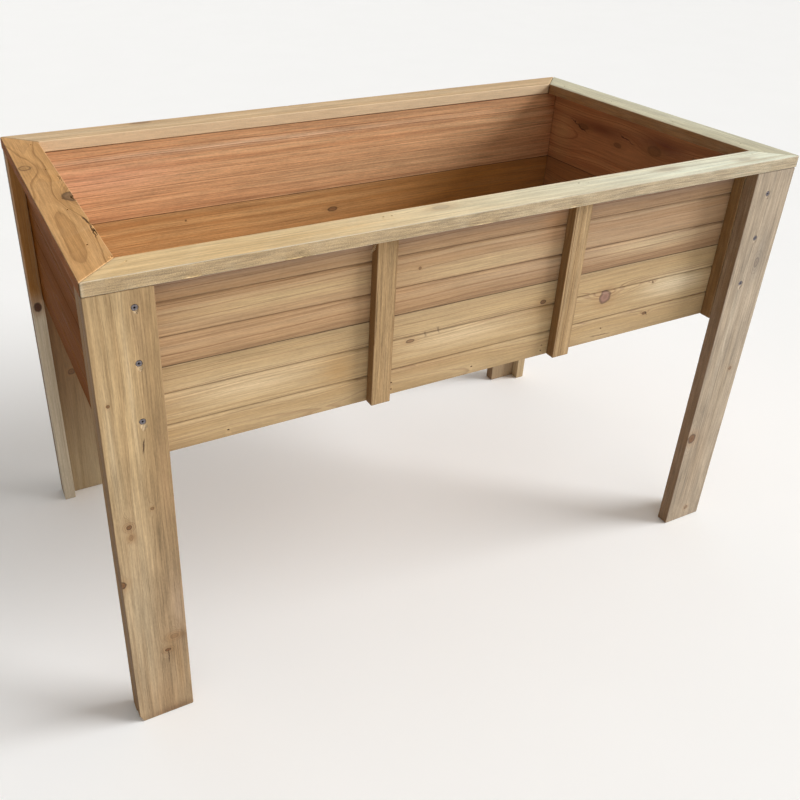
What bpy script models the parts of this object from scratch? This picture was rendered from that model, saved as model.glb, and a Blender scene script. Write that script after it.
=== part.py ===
"""Raised cedar planter: an open grooved-board box with a mitred cap rail, standing on four L-shaped legs.

Metres, +Z up. The origin is on the floor, under the middle of the planter. +X runs along the
length, -Y is the front. Every board, batten, slat and screw is its own closed object.
"""
import math

import bmesh
import bpy
from mathutils import Matrix, Vector

# Overall sizes, over the cap rail and down to the feet.
LENGTH = 1.219
DEPTH = 0.654
HEIGHT = 0.7845

# Clearance between two pieces that touch.
GAP = 0.0003

# Cap rail, laid flat and mitred at the corners.
CAP_BOARD_WIDTH = 0.0565
CAP_BOARD_THICKNESS = 0.0205
CAP_OVERHANG = 0.0010

# Legs: a wide board facing front or back, with a strip behind its outer edge.
LEG_BOARD_WIDTH = 0.089
LEG_BOARD_THICKNESS = 0.0235
LEG_STRIP_WIDTH = 0.022
LEG_STRIP_DEPTH = 0.020

# Box walls: a lower and an upper board on each side, grooved on the outside.
WALL_BOARD_THICKNESS = 0.009
LOWER_BOARD_HEIGHT = 0.140
UPPER_BOARD_HEIGHT = 0.145
GROOVE_COUNT = 2
GROOVE_DEPTH = 0.003
FIRST_GROOVE_HEIGHT = 0.044
GROOVE_SPACING = 0.052

# Blocks behind the legs, and the battens between them.
CORNER_BLOCK_THICKNESS = 0.0215
BATTEN_WIDTH = 0.0335
BATTEN_THICKNESS = 0.017
BATTEN_OFFSET = 0.1755

# Floor: a ledger frame inside the walls, and slats across it with drainage gaps.
LEDGER_WIDTH = 0.022
LEDGER_HEIGHT = 0.033
SLAT_COUNT = 8
SLAT_THICKNESS = 0.019
DRAIN_GAP = 0.006
SLAT_END_GAP = 0.003

# Countersunk screws through the leg boards, ending inside the corner blocks.
SCREW_POINT_COVER = 0.004
SCREW_SHANK_RADIUS = 0.0021
SCREW_HEAD_RADIUS = 0.0042
SCREW_HEAD_HEIGHT = 0.0034
SCREW_SINK = 0.0004
SCREW_POINT_LENGTH = 0.006
SCREW_DIMPLE_RADIUS = 0.0018
SCREW_DIMPLE_DEPTH = 0.0016
SCREW_STEPS = 16

# Screw places, as (distance below the cap rail, distance in from the leg's outer edge).
LEFT_LEG_SCREWS = ((0.0255, 0.0620), (0.1045, 0.0600), (0.1925, 0.0565))
RIGHT_LEG_SCREWS = ((0.0400, 0.0530), (0.1220, 0.0540), (0.2085, 0.0600))

# Eased edges.
CAP_EASE = 0.0015
LEG_EASE = 0.0012
SMALL_EASE = 0.0008

# Levels and faces that several pieces share.
CAP_UNDERSIDE = HEIGHT - CAP_BOARD_THICKNESS
WALL_TOP = CAP_UNDERSIDE - GAP
UPPER_BOARD_BOTTOM = WALL_TOP - UPPER_BOARD_HEIGHT
LOWER_BOARD_TOP = UPPER_BOARD_BOTTOM - GAP
BOX_BOTTOM = LOWER_BOARD_TOP - LOWER_BOARD_HEIGHT

LEG_OUTER_X = LENGTH / 2 - CAP_OVERHANG
LEG_INNER_X = LEG_OUTER_X - LEG_BOARD_WIDTH
LEG_FACE_Y = DEPTH / 2 - CAP_OVERHANG
LEG_BACK_Y = LEG_FACE_Y - LEG_BOARD_THICKNESS
BLOCK_FACE_Y = LEG_BACK_Y - GAP
BLOCK_BACK_Y = BLOCK_FACE_Y - CORNER_BLOCK_THICKNESS
END_WALL_OUTER_X = LEG_OUTER_X - LEG_STRIP_WIDTH - GAP
END_WALL_INNER_X = END_WALL_OUTER_X - WALL_BOARD_THICKNESS
SIDE_WALL_OUTER_Y = BLOCK_BACK_Y - GAP
SIDE_WALL_INNER_Y = SIDE_WALL_OUTER_Y - WALL_BOARD_THICKNESS
SCREW_LENGTH = LEG_FACE_Y - BLOCK_BACK_Y - SCREW_SINK - SCREW_POINT_COVER

# Along Y, the front is -1 and the back is +1; along X, the left is -1 and the right is +1.
SIDES = {"front": -1, "back": 1}
ENDS = {"left": -1, "right": 1}


def clear_scene():
    """Remove every object that the new scene starts with."""
    for old in list(bpy.data.objects):
        bpy.data.objects.remove(old)


def make_collection(name):
    """Make a collection and link it to the scene."""
    collection = bpy.data.collections.new(name)
    bpy.context.scene.collection.children.link(collection)
    return collection


def make_material(name, colour, roughness, metallic=0.0):
    """Make a plain Principled material."""
    material = bpy.data.materials.new(name)
    material.use_nodes = True
    shader = material.node_tree.nodes["Principled BSDF"]
    shader.inputs["Base Color"].default_value = (*colour, 1.0)
    shader.inputs["Roughness"].default_value = roughness
    shader.inputs["Metallic"].default_value = metallic
    material.diffuse_color = (*colour, 1.0)
    return material


def box_mesh(name, size):
    """Make a box mesh of the given size, centred on its own origin."""
    shape = bmesh.new()
    bmesh.ops.create_cube(shape, size=1.0)
    bmesh.ops.scale(shape, vec=size, verts=shape.verts)
    mesh = bpy.data.meshes.new(name)
    shape.to_mesh(mesh)
    shape.free()
    return mesh


def add_object(name, mesh, location, collection, parent):
    """Put a mesh in the scene as a named object under the planter's empty."""
    piece = bpy.data.objects.new(name, mesh)
    piece.location = location
    piece.parent = parent
    collection.objects.link(piece)
    return piece


def span(side, outer, inner):
    """Low and high ends of a stretch between two distances from the middle, on one side of it."""
    return sorted((side * outer, side * inner))


def add_board(name, x_range, y_range, z_range, material, ease, place):
    """Add a straight board that fills the three ranges, with its edges eased."""
    ranges = (x_range, y_range, z_range)
    size = Vector([high - low for low, high in ranges])
    centre = Vector([(low + high) / 2 for low, high in ranges])
    piece = add_object(name, box_mesh(name, size), centre, *place)
    piece.data.materials.append(material)
    if ease > 0:
        bevel = piece.modifiers.new("eased edges", "BEVEL")
        bevel.width = min(ease, min(size) / 4)
        bevel.segments = 1
    return piece


def add_cutter(name, mesh, matrix, collection):
    """Add a wire cutter that the build leaves out."""
    cutter = bpy.data.objects.new(name, mesh)
    cutter.matrix_world = matrix
    cutter.hide_render = True
    cutter.display_type = "WIRE"
    collection.objects.link(cutter)
    return cutter


def cut(piece, cutter):
    """Take a cutter out of a piece whose edges are already eased, so that the cut stays crisp."""
    boolean = piece.modifiers.new("cut " + cutter.name, "BOOLEAN")
    boolean.operation = "DIFFERENCE"
    boolean.solver = "EXACT"
    boolean.object = cutter
    return boolean


def add_cap_rail(name, side, along_x, material, place):
    """Add one mitred rail of the cap, shaped as a box whose inner corners are drawn in."""
    length = LENGTH if along_x else DEPTH
    across = DEPTH if along_x else LENGTH
    mitre_back_off = GAP * math.sqrt(0.5)
    half = length / 2 - mitre_back_off
    mesh = box_mesh(name, Vector((2 * half, CAP_BOARD_WIDTH, CAP_BOARD_THICKNESS)))
    for vertex in mesh.vertices:
        if vertex.co.y > 0:
            vertex.co.x -= math.copysign(CAP_BOARD_WIDTH, vertex.co.x)
    turn = 0.0 if along_x else -math.pi / 2
    if side > 0:
        turn += math.pi
    mesh.transform(Matrix.Rotation(turn, 4, "Z"))
    outward = Vector((0, side, 0)) if along_x else Vector((side, 0, 0))
    centre = outward * (across - CAP_BOARD_WIDTH) / 2
    centre.z = HEIGHT - CAP_BOARD_THICKNESS / 2
    rail = add_object(name, mesh, centre, *place)
    rail.data.materials.append(material)
    bevel = rail.modifiers.new("eased edges", "BEVEL")
    bevel.width = CAP_EASE
    bevel.segments = 1
    return rail


def add_cap(material, place):
    """Add the four mitred rails."""
    for name, side in SIDES.items():
        add_cap_rail("cap_rail_" + name, side, True, material, place)
    for name, side in ENDS.items():
        add_cap_rail("cap_rail_" + name, side, False, material, place)


def groove_cutter(name, length, along_x, face_centre, level, cutters):
    """A square bar turned on its edge, sunk to the groove's depth in the outer face at face_centre."""
    edge = GROOVE_DEPTH * math.sqrt(2)
    overrun = 4 * GROOVE_DEPTH
    mesh = box_mesh(name, Vector((length + overrun, edge, edge)))
    heading = Matrix.Identity(4) if along_x else Matrix.Rotation(math.pi / 2, 4, "Z")
    on_edge = Matrix.Rotation(math.pi / 4, 4, "X")
    location = Matrix.Translation(face_centre + Vector((0, 0, level)))
    return add_cutter(name, mesh, location @ heading @ on_edge, cutters)


def add_grooved_board(name, x_range, y_range, z_range, along_x, face_centre, material, place, cutters):
    """Add one wall board, with its grooves cut in the face that looks outward."""
    board = add_board(name, x_range, y_range, z_range, material, 0.0, place)
    start, end = x_range if along_x else y_range
    for number in range(GROOVE_COUNT):
        level = z_range[0] + FIRST_GROOVE_HEIGHT + number * GROOVE_SPACING
        cutter_name = f"{name}_groove_{number + 1}"
        cutter = groove_cutter(cutter_name, end - start, along_x, face_centre, level, cutters)
        cut(board, cutter)
    return board


def add_walls(upper_material, lower_material, place, cutters):
    """Add the two boards of each of the four walls."""
    courses = (
        ("lower", (BOX_BOTTOM, LOWER_BOARD_TOP), lower_material),
        ("upper", (UPPER_BOARD_BOTTOM, WALL_TOP), upper_material),
    )
    side_length = END_WALL_INNER_X - GAP
    end_length = LEG_BACK_Y - GAP
    for course, z_range, material in courses:
        for side_name, side in SIDES.items():
            y_range = span(side, SIDE_WALL_OUTER_Y, SIDE_WALL_INNER_Y)
            face_centre = Vector((0, side * SIDE_WALL_OUTER_Y, 0))
            name = f"{side_name}_board_{course}"
            x_range = (-side_length, side_length)
            add_grooved_board(name, x_range, y_range, z_range, True, face_centre, material, place, cutters)
        for end_name, end in ENDS.items():
            x_range = span(end, END_WALL_OUTER_X, END_WALL_INNER_X)
            face_centre = Vector((end * END_WALL_OUTER_X, 0, 0))
            name = f"{end_name}_board_{course}"
            y_range = (-end_length, end_length)
            add_grooved_board(name, x_range, y_range, z_range, False, face_centre, material, place, cutters)


def screw_profile_mesh(name, clearance):
    """Half outline of a screw that points along -Z, head rim on top; clearance makes it a hole cutter."""
    head = SCREW_HEAD_RADIUS + clearance
    shank = SCREW_SHANK_RADIUS + clearance
    tip = -SCREW_LENGTH - clearance
    if clearance > 0:
        outline = [(0, SCREW_SINK + GAP), (head, SCREW_SINK + GAP), (head, 0)]
    else:
        outline = [(0, -SCREW_DIMPLE_DEPTH), (SCREW_DIMPLE_RADIUS, -SCREW_DIMPLE_DEPTH)]
        outline += [(SCREW_DIMPLE_RADIUS, 0), (head, 0)]
    outline += [(shank, -SCREW_HEAD_HEIGHT), (shank, tip + SCREW_POINT_LENGTH), (0, tip)]
    shape = bmesh.new()
    points = [shape.verts.new((radius, 0, height)) for radius, height in outline]
    for first, second in zip(points, points[1:]):
        shape.edges.new((first, second))
    mesh = bpy.data.meshes.new(name)
    shape.to_mesh(mesh)
    shape.free()
    return mesh


def turn_profile(piece):
    """Spin a half outline about its own Z into a closed round body."""
    screw = piece.modifiers.new("turned", "SCREW")
    screw.axis = "Z"
    screw.steps = SCREW_STEPS
    screw.render_steps = SCREW_STEPS
    screw.use_merge_vertices = True
    screw.merge_threshold = 0.00001
    return piece


def add_leg_screws(leg_name, side, end, leg, block, material, place, cutters):
    """Add the screws of one leg, and cut their holes in its board and its corner block."""
    places = LEFT_LEG_SCREWS if end < 0 else RIGHT_LEG_SCREWS
    facing = Matrix.Rotation(side * -math.pi / 2, 4, "X")
    for number, (drop, inset) in enumerate(places, start=1):
        across = end * (LEG_OUTER_X - inset)
        centre = Vector((across, side * (LEG_FACE_Y - SCREW_SINK), CAP_UNDERSIDE - drop))
        name = f"leg_screw_{leg_name}_{number}"
        screw = add_object(name, screw_profile_mesh(name, 0.0), centre, *place)
        screw.rotation_euler = facing.to_euler()
        screw.data.materials.append(material)
        turn_profile(screw)
        hole_mesh = screw_profile_mesh(name + "_hole", GAP)
        hole = add_cutter(name + "_hole", hole_mesh, Matrix.Translation(centre) @ facing, cutters)
        turn_profile(hole)
        cut(leg, hole)
        cut(block, hole)


def add_legs(leg_material, block_material, screw_material, place, cutters):
    """Add each corner's leg board, leg strip, corner block and screws."""
    leg_height = (0.0, WALL_TOP)
    for side_name, side in SIDES.items():
        for end_name, end in ENDS.items():
            corner = f"{side_name}_{end_name}"
            board_x = span(end, LEG_OUTER_X, LEG_INNER_X)
            board_y = span(side, LEG_FACE_Y, LEG_BACK_Y)
            leg_name = "leg_board_" + corner
            leg = add_board(leg_name, board_x, board_y, leg_height, leg_material, LEG_EASE, place)
            strip_x = span(end, LEG_OUTER_X, LEG_OUTER_X - LEG_STRIP_WIDTH)
            strip_y = span(side, LEG_BACK_Y - GAP, LEG_BACK_Y - GAP - LEG_STRIP_DEPTH)
            add_board("leg_strip_" + corner, strip_x, strip_y, leg_height, leg_material, LEG_EASE, place)
            block_x = span(end, END_WALL_INNER_X - GAP, LEG_INNER_X)
            block_y = span(side, BLOCK_FACE_Y, BLOCK_BACK_Y)
            block_z = (BOX_BOTTOM, WALL_TOP)
            block_name = "corner_block_" + corner
            block = add_board(block_name, block_x, block_y, block_z, block_material, SMALL_EASE, place)
            add_leg_screws(corner, side, end, leg, block, screw_material, place, cutters)


def add_battens(material, place):
    """Add the upright battens that stiffen the long walls between the legs."""
    for side_name, side in SIDES.items():
        for end_name, end in ENDS.items():
            centre = end * BATTEN_OFFSET
            x_range = (centre - BATTEN_WIDTH / 2, centre + BATTEN_WIDTH / 2)
            face = SIDE_WALL_OUTER_Y + GAP
            y_range = span(side, face + BATTEN_THICKNESS, face)
            name = f"batten_{side_name}_{end_name}"
            add_board(name, x_range, y_range, (BOX_BOTTOM, WALL_TOP), material, SMALL_EASE, place)


def add_ledgers(material, place):
    """Add the ledger frame that carries the floor, inside the foot of the walls."""
    z_range = (BOX_BOTTOM, BOX_BOTTOM + LEDGER_HEIGHT)
    outer_y = SIDE_WALL_INNER_Y - GAP
    outer_x = END_WALL_INNER_X - GAP
    for side_name, side in SIDES.items():
        y_range = span(side, outer_y, outer_y - LEDGER_WIDTH)
        x_range = (-outer_x, outer_x)
        add_board(f"floor_ledger_{side_name}", x_range, y_range, z_range, material, SMALL_EASE, place)
    for end_name, end in ENDS.items():
        x_range = span(end, outer_x, outer_x - LEDGER_WIDTH)
        reach = outer_y - LEDGER_WIDTH - GAP
        y_range = (-reach, reach)
        add_board(f"floor_ledger_{end_name}", x_range, y_range, z_range, material, SMALL_EASE, place)


def add_floor_slats(material, place):
    """Add the floor slats, front to back across the ledgers, with gaps for drainage."""
    start = -END_WALL_INNER_X + SLAT_END_GAP
    room = 2 * -start - (SLAT_COUNT - 1) * DRAIN_GAP
    width = room / SLAT_COUNT
    bottom = BOX_BOTTOM + LEDGER_HEIGHT + GAP
    reach = SIDE_WALL_INNER_Y - GAP
    for number in range(SLAT_COUNT):
        left = start + number * (width + DRAIN_GAP)
        x_range = (left, left + width)
        z_range = (bottom, bottom + SLAT_THICKNESS)
        add_board(f"floor_slat_{number + 1}", x_range, (-reach, reach), z_range, material, SMALL_EASE, place)


def build():
    """Build the whole planter."""
    clear_scene()
    collection = make_collection("raised_planter")
    cutters = make_collection("cutters")
    root = bpy.data.objects.new("planter_frame", None)
    collection.objects.link(root)
    place = (collection, root)

    cap_cedar = make_material("cap_cedar", (0.60, 0.42, 0.22), 0.62)
    leg_cedar = make_material("leg_cedar", (0.52, 0.36, 0.20), 0.70)
    upper_cedar = make_material("upper_board_cedar", (0.55, 0.30, 0.16), 0.60)
    lower_cedar = make_material("lower_board_cedar", (0.58, 0.38, 0.18), 0.60)
    batten_cedar = make_material("batten_cedar", (0.50, 0.33, 0.17), 0.68)
    floor_cedar = make_material("floor_cedar", (0.46, 0.29, 0.15), 0.75)
    screw_steel = make_material("screw_steel", (0.42, 0.40, 0.36), 0.38, 1.0)

    add_cap(cap_cedar, place)
    add_legs(leg_cedar, batten_cedar, screw_steel, place, cutters)
    add_walls(upper_cedar, lower_cedar, place, cutters)
    add_battens(batten_cedar, place)
    add_ledgers(floor_cedar, place)
    add_floor_slats(floor_cedar, place)


build()
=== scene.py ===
# %% [markdown]
# # A raised cedar planter
# The planter is an open box of thin grooved boards, closed on top by a flat mitred rail and held up
# by four L-shaped legs. Everything is sawn cedar, so this lesson is about two things: giving a plain
# board the soft, slightly uneven edges of real timber, and growing a wood grain that runs through
# the solid and not just over its skin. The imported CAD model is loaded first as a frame. Each piece
# made here takes its place and size from a CAD node.

import math

import bmesh
import bpy
from mathutils import Matrix, Vector, noise
from mathutils.bvhtree import BVHTree


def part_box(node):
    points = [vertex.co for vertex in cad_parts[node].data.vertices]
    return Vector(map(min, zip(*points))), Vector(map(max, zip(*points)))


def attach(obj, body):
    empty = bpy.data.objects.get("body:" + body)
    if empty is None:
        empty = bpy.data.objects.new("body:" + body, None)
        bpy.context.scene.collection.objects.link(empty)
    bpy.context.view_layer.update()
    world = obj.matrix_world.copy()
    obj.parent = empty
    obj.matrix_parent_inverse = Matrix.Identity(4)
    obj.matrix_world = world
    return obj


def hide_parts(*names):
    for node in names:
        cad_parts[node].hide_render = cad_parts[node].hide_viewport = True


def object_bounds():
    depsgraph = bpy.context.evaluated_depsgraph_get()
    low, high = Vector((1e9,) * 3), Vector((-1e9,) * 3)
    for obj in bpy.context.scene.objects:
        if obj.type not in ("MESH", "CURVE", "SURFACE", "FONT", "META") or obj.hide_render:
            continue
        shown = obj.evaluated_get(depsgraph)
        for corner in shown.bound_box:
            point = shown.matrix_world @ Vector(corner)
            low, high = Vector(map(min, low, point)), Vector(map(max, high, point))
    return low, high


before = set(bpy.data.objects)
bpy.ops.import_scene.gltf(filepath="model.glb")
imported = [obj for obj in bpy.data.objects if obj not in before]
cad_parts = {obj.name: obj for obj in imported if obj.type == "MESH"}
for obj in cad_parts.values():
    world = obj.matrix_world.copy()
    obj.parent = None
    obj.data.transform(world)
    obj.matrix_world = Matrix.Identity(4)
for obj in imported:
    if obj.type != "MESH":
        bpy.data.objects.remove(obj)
cad_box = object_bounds()
scene = bpy.context.scene
print("CAD nodes:", len(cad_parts))

# %% [markdown]
# ## The camera and the light
# The camera stands just past the planter's left end and looks down into the box. The main light
# comes low from the right, as from a window, and a much wider one from overhead fills it in. Both
# are sun lamps, which light the whole floor evenly; a large angle makes their shadows soft. Light
# from one side is what shows the grooves, and what leaves the battens' left faces dark; painted
# shade in the grooves and on those faces deepens both. A faint third lamp keeps the back from
# going black.

# %% Camera
CAMERA_PLACE = (-0.749, -1.266, 1.221)
CAMERA_TURN = (60.65, -0.61, -25.65)  # degrees
CAMERA_LENS = 38.77
CAMERA_SHIFT = (0.0965, -0.0745)

camera_data = bpy.data.cameras.new("camera")
camera_data.lens = CAMERA_LENS
camera_data.shift_x, camera_data.shift_y = CAMERA_SHIFT
camera = bpy.data.objects.new("camera", camera_data)
camera.location = CAMERA_PLACE
camera.rotation_euler = [math.radians(angle) for angle in CAMERA_TURN]
scene.collection.objects.link(camera)
scene.camera = camera
print("camera at", CAMERA_PLACE)


# %% Light
def soft_sun(name, towards, angle, strength, colour):
    """Add light that comes evenly from one part of the sky, as wide as an angle in degrees."""
    data = bpy.data.lights.new(name, "SUN")
    data.angle = math.radians(angle)
    data.energy = strength * math.pi
    data.color = colour
    lamp = bpy.data.objects.new(name, data)
    lamp.location = Vector(towards).normalized() * 3.0
    lamp.rotation_euler = Vector(towards).to_track_quat("Z", "Y").to_euler()
    scene.collection.objects.link(lamp)
    return lamp


soft_sun("window", (0.91, -0.41, 0.45), 32.0, 1.12, (0.98, 0.99, 1.0))
soft_sun("overhead", (0.30, -0.32, 0.87), 110.0, 0.44, (1.0, 0.98, 0.95))
soft_sun("back_fill", (0.10, 0.90, 0.45), 70.0, 0.11, (1.0, 0.96, 0.90))

world = bpy.data.worlds.new("room")
scene.world = world
world.use_nodes = True
world.node_tree.nodes["Background"].inputs["Color"].default_value = (1.0, 0.94, 0.86, 1.0)
world.node_tree.nodes["Background"].inputs["Strength"].default_value = 0.06
scene.view_settings.view_transform = "Standard"

# %% [markdown]
# ## Sums on sockets
# A wood grain is mostly arithmetic: distances, fractions and soft steps. Writing it as nodes by hand
# hides the formula, so a small class wraps a number socket and lets Python's own operators add the
# Math nodes. A second class holds a material and adds every other kind of node by one method.


# %% Numbers as sockets
class Number:
    """A number socket that Python can do sums with."""

    def __init__(self, finish, socket):
        self.finish = finish
        self.socket = socket

    def sum(self, operation, *values):
        made = self.finish.node("ShaderNodeMath", {"operation": operation}, values)
        return Number(self.finish, made.outputs[0])

    def __add__(self, other):
        return self.sum("ADD", self, other)

    def __sub__(self, other):
        return self.sum("SUBTRACT", self, other)

    def __mul__(self, other):
        return self.sum("MULTIPLY", self, other)

    def __truediv__(self, other):
        return self.sum("DIVIDE", self, other)

    def __rsub__(self, other):
        return self.sum("SUBTRACT", other, self)

    def __pow__(self, other):
        return self.sum("POWER", self, other)

    __radd__ = __add__
    __rmul__ = __mul__

    def root(self):
        return self.sum("SQRT", self)

    def size(self):
        return self.sum("ABSOLUTE", self)

    def fraction(self):
        return self.sum("FRACT", self)

    def whole(self):
        return self.sum("FLOOR", self)

    def exponent(self):
        return self.sum("EXPONENT", self)

    def sine(self):
        return self.sum("SINE", self)

    def larger(self, other):
        return self.sum("MAXIMUM", self, other)

    def smaller(self, other):
        return self.sum("MINIMUM", self, other)

    def step(self, low, high):
        """A soft step from 0 to 1 as the number goes from low to high."""
        settings = {"interpolation_type": "SMOOTHSTEP"}
        values = {"Value": self, "From Min": low, "From Max": high}
        return Number(self.finish, self.finish.node("ShaderNodeMapRange", settings, values).outputs[0])


# %% A material and its nodes
MIX_FIRST_COLOUR = 6  # the Mix node has sockets for numbers, vectors and colours, so they go by index
MIX_SECOND_COLOUR = 7
MIX_RESULT = 2


class Finish:
    """A material under construction, with one method for every kind of node."""

    def __init__(self, name):
        self.material = bpy.data.materials.new(name)
        self.material.use_nodes = True
        self.tree = self.material.node_tree
        self.shader = self.tree.nodes["Principled BSDF"]

    def node(self, kind, settings, values):
        """Add a node: its settings first, then a number, colour or link for each socket."""
        made = self.tree.nodes.new(kind)
        for key, setting in settings.items():
            setattr(made, key, setting)
        pairs = values.items() if isinstance(values, dict) else enumerate(values)
        for key, value in pairs:
            self.put(made.inputs[key], value)
        return made

    def put(self, socket, value):
        """Link a socket to another, or set its plain value."""
        if isinstance(value, Number):
            value = value.socket
        if isinstance(value, bpy.types.NodeSocket):
            self.tree.links.new(value, socket)
        else:
            socket.default_value = value

    def number(self, socket):
        return Number(self, socket)

    def place(self):
        """Where a point is in the planter, as three numbers in metres."""
        here = self.node("ShaderNodeTexCoord", {}, {}).outputs["Object"]
        parts = self.node("ShaderNodeSeparateXYZ", {}, {"Vector": here})
        return [self.number(parts.outputs[axis]) for axis in "XYZ"]

    def attribute(self, name):
        return self.number(self.node("ShaderNodeAttribute", {"attribute_name": name}, {}).outputs["Fac"])

    def vector(self, x, y, z):
        return self.node("ShaderNodeCombineXYZ", {}, (x, y, z)).outputs[0]

    def cloud(self, x, y, z, detail=2.0, roughness=0.5):
        """Smooth 3-D noise, about 0.5, at coordinates that are already scaled."""
        values = {"Vector": self.vector(x, y, z), "Scale": 1.0, "Detail": detail, "Roughness": roughness}
        return self.number(self.node("ShaderNodeTexNoise", {}, values).outputs[0])

    def line_cloud(self, along, detail=1.0):
        """Smooth noise along one number, about 0.5."""
        values = {"W": along, "Scale": 1.0, "Detail": detail}
        return self.number(self.node("ShaderNodeTexNoise", {"noise_dimensions": "1D"}, values).outputs[0])

    def chance(self, number):
        """A random value from 0 to 1 for each whole number."""
        made = self.node("ShaderNodeTexWhiteNoise", {"noise_dimensions": "1D"}, {"W": number})
        return self.number(made.outputs[0])

    def blend(self, share, first, second):
        """Mix two colours by a share."""
        made = self.node("ShaderNodeMix", {"data_type": "RGBA"}, {"Factor": share})
        self.put(made.inputs[MIX_FIRST_COLOUR], colour(first))
        self.put(made.inputs[MIX_SECOND_COLOUR], colour(second))
        return made.outputs[MIX_RESULT]

    def shade(self, base, amount):
        """Multiply a colour by a number."""
        made = self.node("ShaderNodeVectorMath", {"operation": "SCALE"}, {0: base, "Scale": amount})
        return made.outputs[0]


def colour(value):
    """A plain colour gets its alpha; a socket passes through."""
    return (*value, 1.0) if isinstance(value, tuple) and len(value) == 3 else value


def tinted(value, amount):
    """A plain colour times a number."""
    return tuple(part * amount for part in value)


print("helpers ready")

# %% [markdown]
# ## Cedar
# A board is cut from a trunk, and the trunk is a stack of cones of growth: pale wide earlywood, then
# a thin dark line of latewood. So the grain is a distance from the pith, the trunk's middle, divided
# by the width of a year. A pith close behind the face gives the arches of a flat-sawn board, and one
# far off to the side gives straight lines. The pith wanders a little along the trunk, and years
# swell round a knot, which is the root of a branch. Because the distance is taken in 3-D, the lines
# on a face run on over its edge and turn into rings on the end, as they do on real timber.

# %% The years of growth
AXES = "XYZ"
FIBRE_ROUGHNESS = 0.66


class Timber:
    """The coordinates of one board: along its grain, across its face, and deep through it."""

    def __init__(self, finish, node, grain, face):
        low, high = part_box(node)
        middle = (low + high) / 2
        third = next(axis for axis in AXES if axis not in grain + face)
        spots = dict(zip(AXES, finish.place()))
        self.along, self.across, self.deep = spots[grain], spots[third], spots[face]
        index = [AXES.index(axis) for axis in (grain, third, face)]
        self.middle = [middle[i] for i in index]
        self.low = [low[i] for i in index]
        self.high = [high[i] for i in index]


def knot_distance(timber, knot, wobble):
    """How many knot radii a point is from a knot's middle, on a slightly uneven outline."""
    from_along = timber.along - knot["along"]
    from_across = timber.across - knot["across"]
    stretch = knot.get("stretch", 1.0)
    reach = ((from_along / stretch) ** 2.0 + from_across ** 2.0).root() / knot["radius"]
    return reach + (wobble - 0.5) * 0.5, from_along, from_across


def growth(finish, timber, pith, lean, wander, knots, seed):
    """Distance from the pith, swollen round the knots, and each knot's own distance."""
    along_mid, across_mid, deep_mid = timber.middle
    sway = finish.line_cloud(timber.along * 1.7 + seed, 2.0) - 0.5
    heave = finish.line_cloud(timber.along * 2.3 + seed + 40.0, 2.0) - 0.5
    side = timber.across - (across_mid + pith[0]) - (timber.along - along_mid) * lean[0] - sway * wander
    depth = timber.deep - (deep_mid + pith[1]) - (timber.along - along_mid) * lean[1] - heave * wander
    radius = (side ** 2.0 + depth ** 2.0).root()
    ripple = finish.cloud(timber.along * 11.0 + seed, timber.across * 70.0, timber.deep * 70.0)
    radius = radius + (ripple - 0.5) * 0.0030
    wobble = finish.cloud(timber.along * 130.0, timber.across * 130.0, timber.deep * 130.0 + seed)
    measured = []
    for knot in knots:
        distance, from_along, from_across = knot_distance(timber, knot, wobble)
        spread = (from_along / 3.2) ** 2.0 + from_across ** 2.0
        swell = (spread / (-2.6 * knot["radius"] ** 2)).exponent()
        radius = radius + swell * knot["radius"] * knot.get("swell", 1.3)
        measured.append((knot, distance))
    return radius, measured


print("growth rings ready")

# %% [markdown]
# ## Knots and checks
# A knot is its own small set of rings, darker than the board, with a nearly black rim where bark was
# caught. A check is a split that opens along the grain as the board dries. Both are worked out from
# the same coordinates as the rings, so that the colour, the roughness and the relief agree.


# %% Knots
KNOT_COLOUR = (0.20, 0.095, 0.040)
KNOT_HALO = (0.36, 0.19, 0.075)
KNOT_RINGS = (0.07, 0.032, 0.016)
KNOT_CURLS = (0.09, 0.045, 0.024)
KNOT_RIM = (0.06, 0.030, 0.018)
CHECK_COLOUR = (0.055, 0.026, 0.014)


def knot_at(along, across, radius, **looks):
    """A knot on a board's face, as add_knots reads it."""
    return {"along": along, "across": across, "radius": radius, **looks}


def check_between(start, end, width, **looks):
    """A check from one place on a board's face to another, as add_checks reads it."""
    return {"start": start, "end": end, "width": width, **looks}


def add_knots(finish, wood, relief, measured):
    """Lay the knots over the wood's colour, and sink or raise them in its relief."""
    for knot, distance in measured:
        heart = distance.step(1.0, 0.82)
        rim = ((distance - 1.0) * 6.0) ** 2.0
        rim = (rim * -1.0).exponent() * knot.get("rim", 0.75)
        turns = ((distance * 9.0).sine() * 0.5 + 0.5) * 0.35
        pattern = finish.blend(turns, knot.get("colour", KNOT_COLOUR), knot.get("dark", KNOT_RINGS))
        halo = distance.step(3.2, 0.9) * 0.30
        wood = finish.blend(halo, wood, knot.get("halo", KNOT_HALO))
        wood = finish.blend(heart * knot.get("strength", 0.9), wood, pattern)
        for ring in (1.75, 2.5):
            curl = (((distance - ring) * 5.0) ** 2.0 * -1.0).exponent() * knot.get("curls", 0.0)
            wood = finish.blend(curl, wood, knot.get("dark", KNOT_CURLS))
        wood = finish.blend(rim, wood, knot.get("dark", KNOT_RIM))
        relief = relief - rim * 0.6 - heart * 0.1
    return wood, relief


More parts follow.
